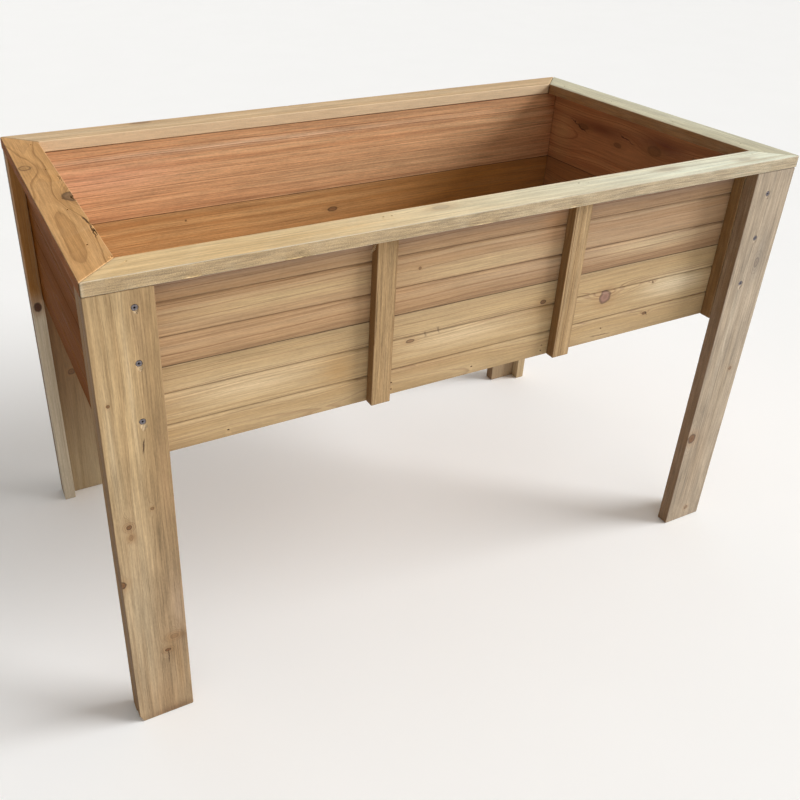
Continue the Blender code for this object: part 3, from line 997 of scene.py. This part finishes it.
for corner, board in leg_boards.items():
    facing = corner.split("_")[0]
    board_low, board_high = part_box("leg_board_" + corner)
    level = board_low.y if facing == "front" else board_high.y
    cutters = bmesh.new()
    for number in SCREW_NUMBERS:
        mouth, radius = leg_screw(corner, number)
        spot = Vector((mouth.x, level, mouth.z))
        wide = radius + COUNTERSINK_MARGIN
        cone_at(cutters, spot, facing, wide + 0.0004, wide - 0.0030, 0.0045, sides=28)
    cut_pits(board, cutters)
    chips = []
    for number in SCREW_NUMBERS:
        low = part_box(f"leg_screw_{corner}_{number}")[0]
        reach = (0.0028 + 0.0005 * number, 0.0014, 0.0030 + 0.0014 * number)
        chips.append(((low.x + 0.0050, level, low.z - 0.0010 * number), reach, number + len(corner)))
    bite(board, chips, "torn")
print("screws:", len(SCREW_NUMBERS) * len(leg_boards))

# %% [markdown]
# ### The legs' timber
# The leg boards are knottier than the walls, greyish tan with long upright grain. The knots of the
# front legs are the ones that catch the eye, and each is given its own place.

# %% Leg timber
LEG_WOOD = ((0.455, 0.337, 0.207), (0.335, 0.233, 0.134), (0.23, 0.135, 0.065))
# The legs' sides are sawn and darker; on the left faces, turned from the light, the darkening is also painted
# shade.
LEG_SIDE = (0.158, 0.077, 0.027)
LEG_SIDES = (("across", -1, LEG_SIDE, 0.85, 1.0), ("across", 1, LEG_SIDE, 0.6, 1.0))
dress(leg_boards["front_left"], "Z", "Y", LEG_WOOD, rough_sides=LEG_SIDES, pith=(0.034, 0.045),
    lean=(0.010, 0.0), wander=0.014, year=0.0019, contrast=0.34,
    drift=(0.15, 0.60, (0.492, 0.345, 0.182), (0.362, 0.238, 0.117)), bands=0.55, seed=3.3, patches=0.45,
    streaks=0.50, gloss=0.12, mottle=0.75,
    stains=((0.150, -0.545, 0.030, 0.016, (0.27, 0.17, 0.085), 0.7),
            (0.10, -0.535, 0.06, 0.006, (0.28, 0.17, 0.08), 0.5),
            (0.62, -0.563, 0.12, 0.003, (0.60, 0.46, 0.29), 0.4),
            (0.30, -0.580, 0.14, 0.012, (0.48, 0.36, 0.22), 0.5),
            (0.03, -0.570, 0.05, 0.030, (0.30, 0.19, 0.10), 0.5),
            (0.70, -0.545, 0.07, 0.010, (0.36, 0.23, 0.12), 0.4),
            (0.45, -0.530, 0.10, 0.007, (0.34, 0.21, 0.11), 0.4),
            (0.22, -0.528, 0.07, 0.012, (0.36, 0.255, 0.165), 0.7),
            (0.408, -0.587, 0.012, 0.009, (0.30, 0.19, 0.10), 0.6),
            (0.385, -0.583, 0.012, 0.006, (0.28, 0.17, 0.09), 0.6),
            (0.005, -0.555, 0.010, 0.050, (0.20, 0.12, 0.065), 0.8),
            (0.24, -0.590, 0.06, 0.014, (0.42, 0.32, 0.20), 0.7),
            (0.165, -0.527, 0.010, 0.010, (0.24, 0.15, 0.08), 0.7),
            (0.52, -0.597, 0.10, 0.006, (0.52, 0.41, 0.26), 0.5)),
    knots=(knot_at(0.607, -0.594, 0.0022, strength=0.9),
           knot_at(0.403, -0.587, 0.0036, strength=0.95, swell=2.2, rim=0.9, curls=0.3),
           knot_at(0.384, -0.586, 0.0030, stretch=1.6, strength=0.35, rim=0.3),
           knot_at(0.301, -0.6080, 0.0060, strength=1.0, rim=0.95),
           knot_at(0.167, -0.540, 0.0060, stretch=0.8, strength=0.35, rim=0.35, swell=1.8, curls=0.16),
           knot_at(0.142, -0.552, 0.0044, stretch=0.7, strength=1.0, rim=0.95, swell=2.0, curls=0.25),
           knot_at(0.425, -0.552, 0.0024, strength=0.7)),
    checks=(check_between((0.142, -0.552), (0.112, -0.5515), 0.0012),
            check_between((0.545, -0.5525), (0.520, -0.556), 0.0016)))
dress(leg_boards["front_right"], "Z", "Y", ((0.485, 0.39, 0.288), (0.375, 0.293, 0.206),
                                            (0.23, 0.165, 0.105)),
    rough_sides=LEG_SIDES, pith=(-0.030, 0.045), wander=0.014, year=0.0021, contrast=0.34, bands=0.7,
    seed=8.1, patches=0.45, streaks=0.58, mottle=0.85,
    stains=((0.45, 0.548, 0.20, 0.006, (0.50, 0.43, 0.33), 0.3),
            (0.16, 0.56, 0.10, 0.015, (0.33, 0.24, 0.155), 0.6),
            (0.66, 0.590, 0.08, 0.012, (0.35, 0.27, 0.19), 0.5),
            (0.34, 0.575, 0.06, 0.012, (0.36, 0.28, 0.19), 0.5),
            (0.600, 0.577, 0.05, 0.010, (0.33, 0.28, 0.22), 0.6)),
    knots=(knot_at(0.592, 0.5755, 0.0050, stretch=1.8, strength=0.8, rim=0.5, colour=(0.26, 0.20, 0.15),
                   dark=(0.10, 0.07, 0.05), halo=(0.36, 0.29, 0.21), curls=0.2),
           knot_at(0.367, 0.585, 0.0035, strength=0.6),
           knot_at(0.216, 0.5300, 0.0085, stretch=1.2, strength=1.0),
           knot_at(0.027, 0.569, 0.0040, strength=0.6)))
dress(leg_boards["back_left"], "Z", "Y", ((0.40, 0.30, 0.175), (0.32, 0.225, 0.12), (0.20, 0.13, 0.065)),
    # Darker brown towards the top: painted shade under the box.
    drift=(0.02, 0.45, (0.260, 0.138, 0.057), (0.202, 0.101, 0.037)), pith=(0.03, -0.05), wander=0.014,
    year=0.0021, contrast=0.4, bands=0.7, rough_sides=LEG_SIDES, seed=14.9,
    knots=(knot_at(0.30, -0.553, 0.006),))
dress(leg_boards["back_right"], "Z", "Y", LEG_WOOD, pith=(0.03, -0.05), wander=0.014, year=0.0020,
    contrast=0.4, bands=0.7, rough_sides=LEG_SIDES, seed=19.2,
    knots=(knot_at(0.35, 0.551, 0.007),))
STRIP_BROWN = ((0.30, 0.175, 0.075), (0.23, 0.13, 0.05), (0.14, 0.07, 0.025))
STRIP_GREY = ((0.56, 0.485, 0.37), (0.48, 0.40, 0.29), (0.30, 0.23, 0.155))
STRIP_TAN = ((0.56, 0.43, 0.27), (0.45, 0.33, 0.19), (0.26, 0.17, 0.09))
STRIP_WOODS = {"front_left": STRIP_BROWN, "back_left": STRIP_GREY,
               "front_right": STRIP_TAN, "back_right": STRIP_TAN}
# The back left strip is grey below, partly weathered wood and partly painted light, and turns brown above,
# painted shade beside the box and under the cap.
SHADED_BROWN_ABOVE = (0.43, 0.51, (0.40, 0.187, 0.048), (0.31, 0.136, 0.032))
STRIP_KNOT = knot_at(0.466, -0.5985, 0.0064, stretch=1.4, strength=1.0, rim=0.8, colour=(0.075, 0.027, 0.013),
                     dark=(0.028, 0.011, 0.007), halo=(0.15, 0.070, 0.033), swell=1.6)
for number, (corner, strip) in enumerate(leg_strips.items()):
    by_the_knot = corner == "back_left"
    dress(strip, "Z", "Y", STRIP_WOODS[corner], pith=(0.03, 0.03), wander=0.014, year=0.0021, contrast=0.5,
          seed=27.0 + number * 5.3, gloss=0.08, drift=SHADED_BROWN_ABOVE if by_the_knot else None,
          knots=(STRIP_KNOT,) if by_the_knot else ())
print("leg timber done")

# %% [markdown]
# ## Blocks and battens
# Upright sticks stiffen the thin walls: a block behind each leg and two battens between them. The
# blocks are mostly hidden, so only their edges beside the legs show. The front left batten has nicks
# along its edges and a few splinters at its top.

# %% Blocks and battens
UPRIGHTS = ["corner_block_" + side + "_" + end for side, end in CORNERS]
UPRIGHTS += ["batten_" + side + "_" + end for side, end in CORNERS]
uprights = {}
for number, node in enumerate(UPRIGHTS):
    uprights[node] = straight_board(node, "Z", "batten_cedar", 0.0011, 0.00045, 81.0 + number, 1.0)
batten_low, batten_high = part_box("batten_front_left")
right_edge = batten_high.x + 0.0002
left_edge = batten_low.x - 0.0002
bite(uprights["batten_front_left"], [
    ((right_edge, batten_low.y, 0.738), (0.0016, 0.0012, 0.0100), 11.0),
    ((right_edge, batten_low.y, 0.702), (0.0014, 0.0010, 0.0070), 12.0),
    ((right_edge, batten_low.y, 0.655), (0.0012, 0.0010, 0.0050), 13.0),
    ((right_edge, batten_low.y, 0.612), (0.0015, 0.0012, 0.0080), 14.0),
    ((right_edge, batten_low.y, 0.540), (0.0012, 0.0010, 0.0060), 15.0),
    ((left_edge, batten_low.y, 0.590), (0.0012, 0.0010, 0.0050), 16.0)])
print("uprights:", len(uprights))

# %% Splinters
def splinter(shape, root, tip, thickness):
    """A thin tapering fibre from root to tip."""
    run = Vector(tip) - Vector(root)
    turn = run.to_track_quat("Z", "Y").to_matrix().to_4x4()
    middle = Matrix.Translation((Vector(root) + Vector(tip)) / 2)
    bmesh.ops.create_cone(shape, cap_ends=True, segments=5, radius1=thickness, radius2=thickness * 0.2,
                          depth=run.length, matrix=middle @ turn)


SPLINTER_COUNT = 7
SPLINTER_RADIUS = 0.00035
fibres = bmesh.new()
for number in range(SPLINTER_COUNT):
    root_height = batten_high.z - 0.003 - 0.0035 * number
    root = Vector((batten_low.x + 0.0006, batten_low.y + 0.0030 + 0.0008 * number, root_height))
    lean_out = Vector((-0.0075 - 0.0012 * (number % 3), -0.0018 * (number % 2),
                       0.0015 * (number % 4) - 0.0085))
    splinter(fibres, root, root + lean_out, SPLINTER_RADIUS)
splinters = settle("batten_splinters", fibres, "batten_cedar")
splinters.data.materials.append(cedar(
    "splinter_cedar", "batten_front_left", "Z", "Y",
    ((0.80, 0.66, 0.46), (0.70, 0.54, 0.34), (0.50, 0.34, 0.18))))
print("splinters:", SPLINTER_COUNT)

# %% Upright timber
BATTEN_WOOD = ((0.47, 0.325, 0.178), (0.36, 0.232, 0.112), (0.19, 0.105, 0.045))
# The battens' and blocks' sides are sawn and darker; on their left faces, turned from the light, the
# darkening is also painted shade.
BATTEN_SIDE = (0.165, 0.076, 0.020)
BATTEN_SIDES = (("across", -1, BATTEN_SIDE, 0.9, 1.0), ("across", 1, BATTEN_SIDE, 0.7, 1.0))
for number, piece in enumerate(uprights.values()):
    sideways = 0.02 if number % 2 else -0.02
    dress(piece, "Z", "Y", BATTEN_WOOD, rough_sides=BATTEN_SIDES, pith=(sideways, 0.012), wander=0.016,
          year=0.0022, contrast=1.2, streaks=0.75, bands=0.9, arris=0.6, gloss=0.15, seed=51.0 + number * 3.7)
print("upright timber done")

# %% [markdown]
# ## The walls
# Each wall is two boards, one on the other. Two V grooves run along the outside of each board, so
# that the wall looks like narrow planks. A groove is made the way a cutter makes it: the face is
# sliced along the groove's middle and both lips, and the middle line is pushed in.

# %% Grooved boards
GROOVE_COUNT = 2
GROOVE_DEPTH = 0.003
FIRST_GROOVE = 0.044
GROOVE_SPACING = 0.052
GROOVE_LIP = 0.0005
GROOVE_SHADE = 0.86
FAINT_GROOVE_SHADE = 0.2
JOINT_REACH = 0.0024
WALL_EDGE = 0.0010


def slice_level(shape, level):
    """Slice a shape through at one height."""
    everything = shape.verts[:] + shape.edges[:] + shape.faces[:]
    bmesh.ops.bisect_plane(shape, geom=everything, plane_co=(0.0, 0.0, level), plane_no=(0.0, 0.0, 1.0))


def plough(shape, level, axis, outer, inward):
    """Push the line at one height into the outer face, between slices at the groove's lips."""
    for offset in (-GROOVE_DEPTH, 0.0, GROOVE_DEPTH):
        slice_level(shape, level + offset)
    shape.verts.ensure_lookup_table()
    middle = [vert for vert in shape.verts
              if abs(vert.co.z - level) < CUT_TOLERANCE and abs(vert.co[axis] - outer) < WALL_EDGE * 1.2]
    push = Vector((0.0, 0.0, 0.0))
    push[axis] = inward * GROOVE_DEPTH
    bmesh.ops.translate(shape, vec=push, verts=middle)


def grooved_board(side, course, seed):
    """One wall board, grooved on its outer face."""
    node = f"{side}_board_{course}"
    low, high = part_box(node)
    axis = 1 if side in ("front", "back") else 0
    outward = -1 if side in ("front", "left") else 1
    outer = low[axis] if outward < 0 else high[axis]
    shape = box_shape(low, high)
    round_edges(shape, WALL_EDGE)
    levels = [low.z + FIRST_GROOVE + number * GROOVE_SPACING for number in range(GROOVE_COUNT)]
    for level in levels:
        plough(shape, level, axis, outer, -outward)
    round_edges(shape, GROOVE_LIP, 2, 0.6)
    divide_length(shape, 1 - axis)
    weather(shape, 0.00030, seed, 0.6)
    slot = "upper_board_cedar" if course == "upper" else "lower_board_cedar"
    piece = settle(node + "_timber", shape, slot, node)
    # Painted shade in the grooves and along the long edges, fainter on the left wall.
    shade = FAINT_GROOVE_SHADE if side == "left" else GROOVE_SHADE
    mark_recesses(piece.data, levels, axis, outer, (low.z, high.z), shade)
    return piece


def mark_recesses(mesh, levels, axis, outer, edges, shade):
    """Mark the bottoms of the grooves and the long edges, for painted shade there."""
    marks = mesh.attributes.new("recess_shade", "FLOAT", "POINT")
    for vert in mesh.vertices:
        value = 0.0
        if abs(vert.co[axis] - outer) < GROOVE_DEPTH * 1.1:
            value = shade * max(1.0 - abs(vert.co.z - level) / GROOVE_DEPTH for level in levels)
        near_edge = min(abs(vert.co.z - edge) for edge in edges)
        marks.data[vert.index].value = max(0.0, value, 1.0 - near_edge / JOINT_REACH)


WALLS = ("front", "back", "left", "right")
wall_boards = {}
for number, side in enumerate(WALLS):
    for step, course in enumerate(("lower", "upper")):
        wall_boards[side, course] = grooved_board(side, course, 101.0 + number * 7 + step * 3)
print("wall boards:", {f"{a} {b}": len(p.data.polygons) for (a, b), p in wall_boards.items()})

# %% [markdown]
# ### Brads in the front wall
# A row of brads near the wall's foot holds the floor's ledger behind it.

# %% Wall brads
FRONT_WALL_BRADS = [(-0.148, 0.500), (-0.148, 0.488), (0.1465, 0.4976), (0.146, 0.4877), (0.004, 0.4916),
                    (0.275, 0.502), (-0.420, 0.4905)]
front_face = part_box("front_board_lower")[0].y
nail(wall_boards["front", "lower"], [Vector((x, front_face + 0.0001, z)) for x, z in FRONT_WALL_BRADS],
     "front", ALONG_X, STEEL)
back_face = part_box("back_board_lower")[1].y
nail(wall_boards["back", "lower"], [Vector((-x, back_face - 0.0001, z)) for x, z in FRONT_WALL_BRADS],
     "back", ALONG_X, STEEL)
print("wall brads:", 2 * len(FRONT_WALL_BRADS))

# %% [markdown]
# ### The walls' timber
# The upper boards are pinker, the lower ones yellower. The back wall's inside is the reddest board,
# with straight fine grain. The right end board has swirling grain round old knots.

# %% Wall timber
UPPER = ((0.50, 0.345, 0.195), (0.43, 0.255, 0.125), (0.23, 0.12, 0.055))
LOWER = ((0.55, 0.395, 0.22), (0.46, 0.31, 0.15), (0.29, 0.165, 0.08))
# Painted shade: the left end boards' outer faces are darkened to a deep brown, with faint saw marks.
LEFT_OUTSIDE_SHADE = (("deep", -1, (0.160, 0.047, 0.004), 1.2, 0.8),)
dress(wall_boards["front", "upper"], "X", "Y", UPPER, pith=(-0.110, 0.030), lean=(0.015, 0.0), wander=0.016,
    year=0.0038, seed=71.0, drift=(-0.20, 0.20, (0.465, 0.315, 0.188), (0.396, 0.234, 0.121)),
    # The first patch, a grey band along the top just under the cap rail, is painted shadow.
    stains=((0.0, 0.752, 9.0, 0.016, (0.28, 0.20, 0.175), 0.7),
            (-0.33, 0.690, 0.16, 0.012, (0.56, 0.40, 0.21), 0.8),
            (0.02, 0.678, 0.14, 0.014, (0.56, 0.41, 0.22), 0.7),
            (0.36, 0.650, 0.12, 0.014, (0.56, 0.42, 0.25), 0.7),
            (-0.30, 0.640, 0.20, 0.012, (0.50, 0.30, 0.15), 0.5),
            (0.14, 0.720, 0.03, 0.04, (0.48, 0.24, 0.10), 0.5)),
    knots=(knot_at(-0.1095, 0.690, 0.0022, strength=0.7),))
dress(wall_boards["front", "lower"], "X", "Y", LOWER, pith=(-0.062, 0.040), lean=(0.010, 0.008),
    wander=0.022, year=0.0034, seed=77.0,
    stains=((-0.38, 0.560, 0.10, 0.020, (0.66, 0.50, 0.30), 0.7),
            (-0.24, 0.550, 0.03, 0.03, (0.44, 0.26, 0.10), 0.6),
            (-0.02, 0.560, 0.10, 0.018, (0.66, 0.50, 0.30), 0.7),
            (0.43, 0.560, 0.07, 0.022, (0.72, 0.58, 0.38), 0.8),
            (-0.08, 0.520, 0.07, 0.012, (0.40, 0.25, 0.12), 0.6),
            (0.14, 0.575, 0.03, 0.02, (0.40, 0.24, 0.10), 0.6)),
    knots=(knot_at(0.2715, 0.564, 0.0112, strength=0.9, rim=0.85, colour=(0.30, 0.16, 0.12),
                   dark=(0.12, 0.060, 0.042), swell=1.6),
           knot_at(0.1355, 0.583, 0.0034, stretch=1.6, strength=0.9, rim=0.9),
           knot_at(0.379, 0.571, 0.0020, strength=0.9),
           knot_at(0.3735, 0.511, 0.0028, stretch=1.8, strength=0.9),
           knot_at(-0.118, 0.568, 0.0028, stretch=2.4, strength=0.7)),
    checks=(check_between((0.374, 0.514), (0.381, 0.506), 0.0011),
            check_between((-0.094, 0.580), (-0.090, 0.568), 0.0024, strength=0.45, wander=0.008),
            check_between((-0.070, 0.583), (-0.064, 0.570), 0.0020, strength=0.45, wander=0.008),
            check_between((0.250, 0.490), (0.300, 0.487), 0.0011, strength=0.7)))
dress(wall_boards["back", "upper"], "X", "Y", ((0.79, 0.485, 0.26), (0.67, 0.35, 0.17), (0.40, 0.175, 0.075)),
    pith=(0.16, 0.02), wander=0.010, year=0.0036, contrast=1.1, bands=0.6, streaks=0.55, seed=83.0,
    stains=((-0.2, 0.738, 0.5, 0.006, (0.74, 0.52, 0.34), 0.6),
            (-0.45, 0.70, 0.16, 0.03, (0.74, 0.40, 0.25), 0.6),
            (0.05, 0.66, 0.3, 0.02, (0.62, 0.40, 0.22), 0.5)))
dress(wall_boards["back", "lower"], "X", "Y", ((0.63, 0.365, 0.155), (0.53, 0.27, 0.10),
                                               (0.33, 0.145, 0.048)),
    pith=(-0.10, 0.04), wander=0.015, year=0.0028, seed=89.0, streaks=0.5,
    knots=(knot_at(-0.300, 0.598, 0.0016, strength=0.9),
           knot_at(0.02, 0.573, 0.0045, stretch=2.2, strength=0.7)),
    # The dark patch over the right end is painted shade, where the right wall shades the back wall.
    stains=((0.38, 0.56, 0.26, 0.20, (0.43, 0.18, 0.028), 0.7),))
dress(wall_boards["right", "upper"], "Y", "X", ((0.68, 0.375, 0.19), (0.57, 0.28, 0.135),
                                                (0.34, 0.135, 0.055)),
    pith=(0.0, 0.03), wander=0.05, year=0.0046, seed=95.0,
    knots=(knot_at(0.17, 0.712, 0.006, stretch=2.6, strength=0.6, rim=0.3),
           knot_at(0.06, 0.700, 0.005, stretch=2.2, strength=0.6, rim=0.3),
           knot_at(-0.04, 0.715, 0.009, stretch=1.8, strength=0.35, rim=0.3)),
    stains=((0.12, 0.72, 0.07, 0.012, (0.26, 0.10, 0.05), 0.8),
            (-0.06, 0.73, 0.06, 0.014, (0.24, 0.09, 0.06), 0.8),
            (0.235, 0.66, 0.03, 0.08, (0.66, 0.40, 0.20), 0.6)),
    checks=(check_between((0.215, 0.722), (0.150, 0.700), 0.0016, wander=0.012),
            check_between((0.060, 0.724), (0.012, 0.712), 0.0016, wander=0.012),
            check_between((-0.137, 0.735), (-0.137, 0.690), 0.0007, wander=0.001)))
dress(wall_boards["right", "lower"], "Y", "X", ((0.56, 0.32, 0.15), (0.47, 0.235, 0.10), (0.29, 0.13, 0.05)),
    pith=(0.0, 0.04), wander=0.03, year=0.0034, seed=99.0)
dress(wall_boards["left", "upper"], "Y", "X", ((0.52, 0.28, 0.13), (0.43, 0.21, 0.09), (0.27, 0.12, 0.045)),
    gloss=0.02, rough_sides=LEFT_OUTSIDE_SHADE, pith=(0.0, 0.05), wander=0.02, year=0.0034, seed=103.0)
dress(wall_boards["left", "lower"], "Y", "X", ((0.54, 0.30, 0.14), (0.45, 0.225, 0.095), (0.28, 0.13, 0.05)),
    gloss=0.02, rough_sides=LEFT_OUTSIDE_SHADE, pith=(0.02, 0.05), wander=0.02, year=0.0034, seed=107.0)
print("wall timber done")

# %% [markdown]
# ## The floor
# Slats lie front to back on a frame of ledgers, with gaps for the water. They are offcuts, rougher
# than the walls, and each one is from another board.

# %% Floor
LEDGERS = ["floor_ledger_" + side for side in WALLS]
SLATS = sorted(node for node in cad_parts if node.startswith("floor_slat_"))
FLOOR_PALE = (0.52, 0.33, 0.16)
FLOOR_WARM = (0.43, 0.25, 0.11)
FLOOR_LATE = (0.27, 0.135, 0.055)
for number, node in enumerate(LEDGERS + SLATS):
    grain = "X" if node in ("floor_ledger_front", "floor_ledger_back") else "Y"
    piece = straight_board(node, grain, "floor_cedar", 0.0011, 0.00045, 131.0 + number, 1.0)
    lighter = 1.0 + 0.10 * math.sin(number * 2.4)
    dress(piece, grain, "Z", (tinted(FLOOR_PALE, lighter), tinted(FLOOR_WARM, lighter), FLOOR_LATE),
          pith=(0.02 * math.sin(number * 1.9), -0.04), wander=0.03, year=0.0034, seed=141.0 + number * 6.1,
          streaks=0.14)
print("floor pieces:", len(LEDGERS + SLATS))

# %% [markdown]
# ## The floor it stands on
# A wide pale floor catches the shadow and sends a little light back up under the box. Far out it
# curves up into a low wall, as a studio's paper sweep does, so that no horizon shows.


# %% Stage
def pale_floor():
    """A matt, nearly white floor with the faintest mottling."""
    finish = Finish("pale_floor")
    x, y, z = finish.place()
    mottle = finish.cloud(x * 3.0, y * 3.0, z, 3.0)
    base = finish.blend(mottle, (0.94, 0.94, 0.935), (0.97, 0.97, 0.965))
    finish.put(finish.shader.inputs["Base Color"], base)
    finish.put(finish.shader.inputs["Roughness"], 0.8 + mottle * 0.1)
    finish.shader.inputs["Specular IOR Level"].default_value = 0.1
    return finish.material


FLAT_RADIUS = 26.0
RIM_CURVE = 6.0
RIM_STEPS = 10
RIM_RISE = 0.9  # how far round the quarter circle the rim goes

stage_shape = bmesh.new()
bmesh.ops.create_circle(stage_shape, cap_ends=True, segments=128, radius=FLAT_RADIUS)
rim = stage_shape.edges[:]
radius = FLAT_RADIUS
for step in range(1, RIM_STEPS + 1):
    turn = RIM_RISE * math.pi / 2 * step / RIM_STEPS
    next_radius = FLAT_RADIUS + RIM_CURVE * math.sin(turn)
    rim = grow_rim(stage_shape, rim, next_radius / radius, RIM_CURVE * (1.0 - math.cos(turn)))
    radius = next_radius
bmesh.ops.recalc_face_normals(stage_shape, faces=stage_shape.faces)
stage_mesh = bpy.data.meshes.new("stage_floor")
stage_shape.to_mesh(stage_mesh)
stage_shape.free()
stage_mesh.shade_smooth()
stage_floor = bpy.data.objects.new("stage_floor", stage_mesh)
scene.collection.objects.link(stage_floor)
stage_floor.data.materials.append(pale_floor())

# %% Finish
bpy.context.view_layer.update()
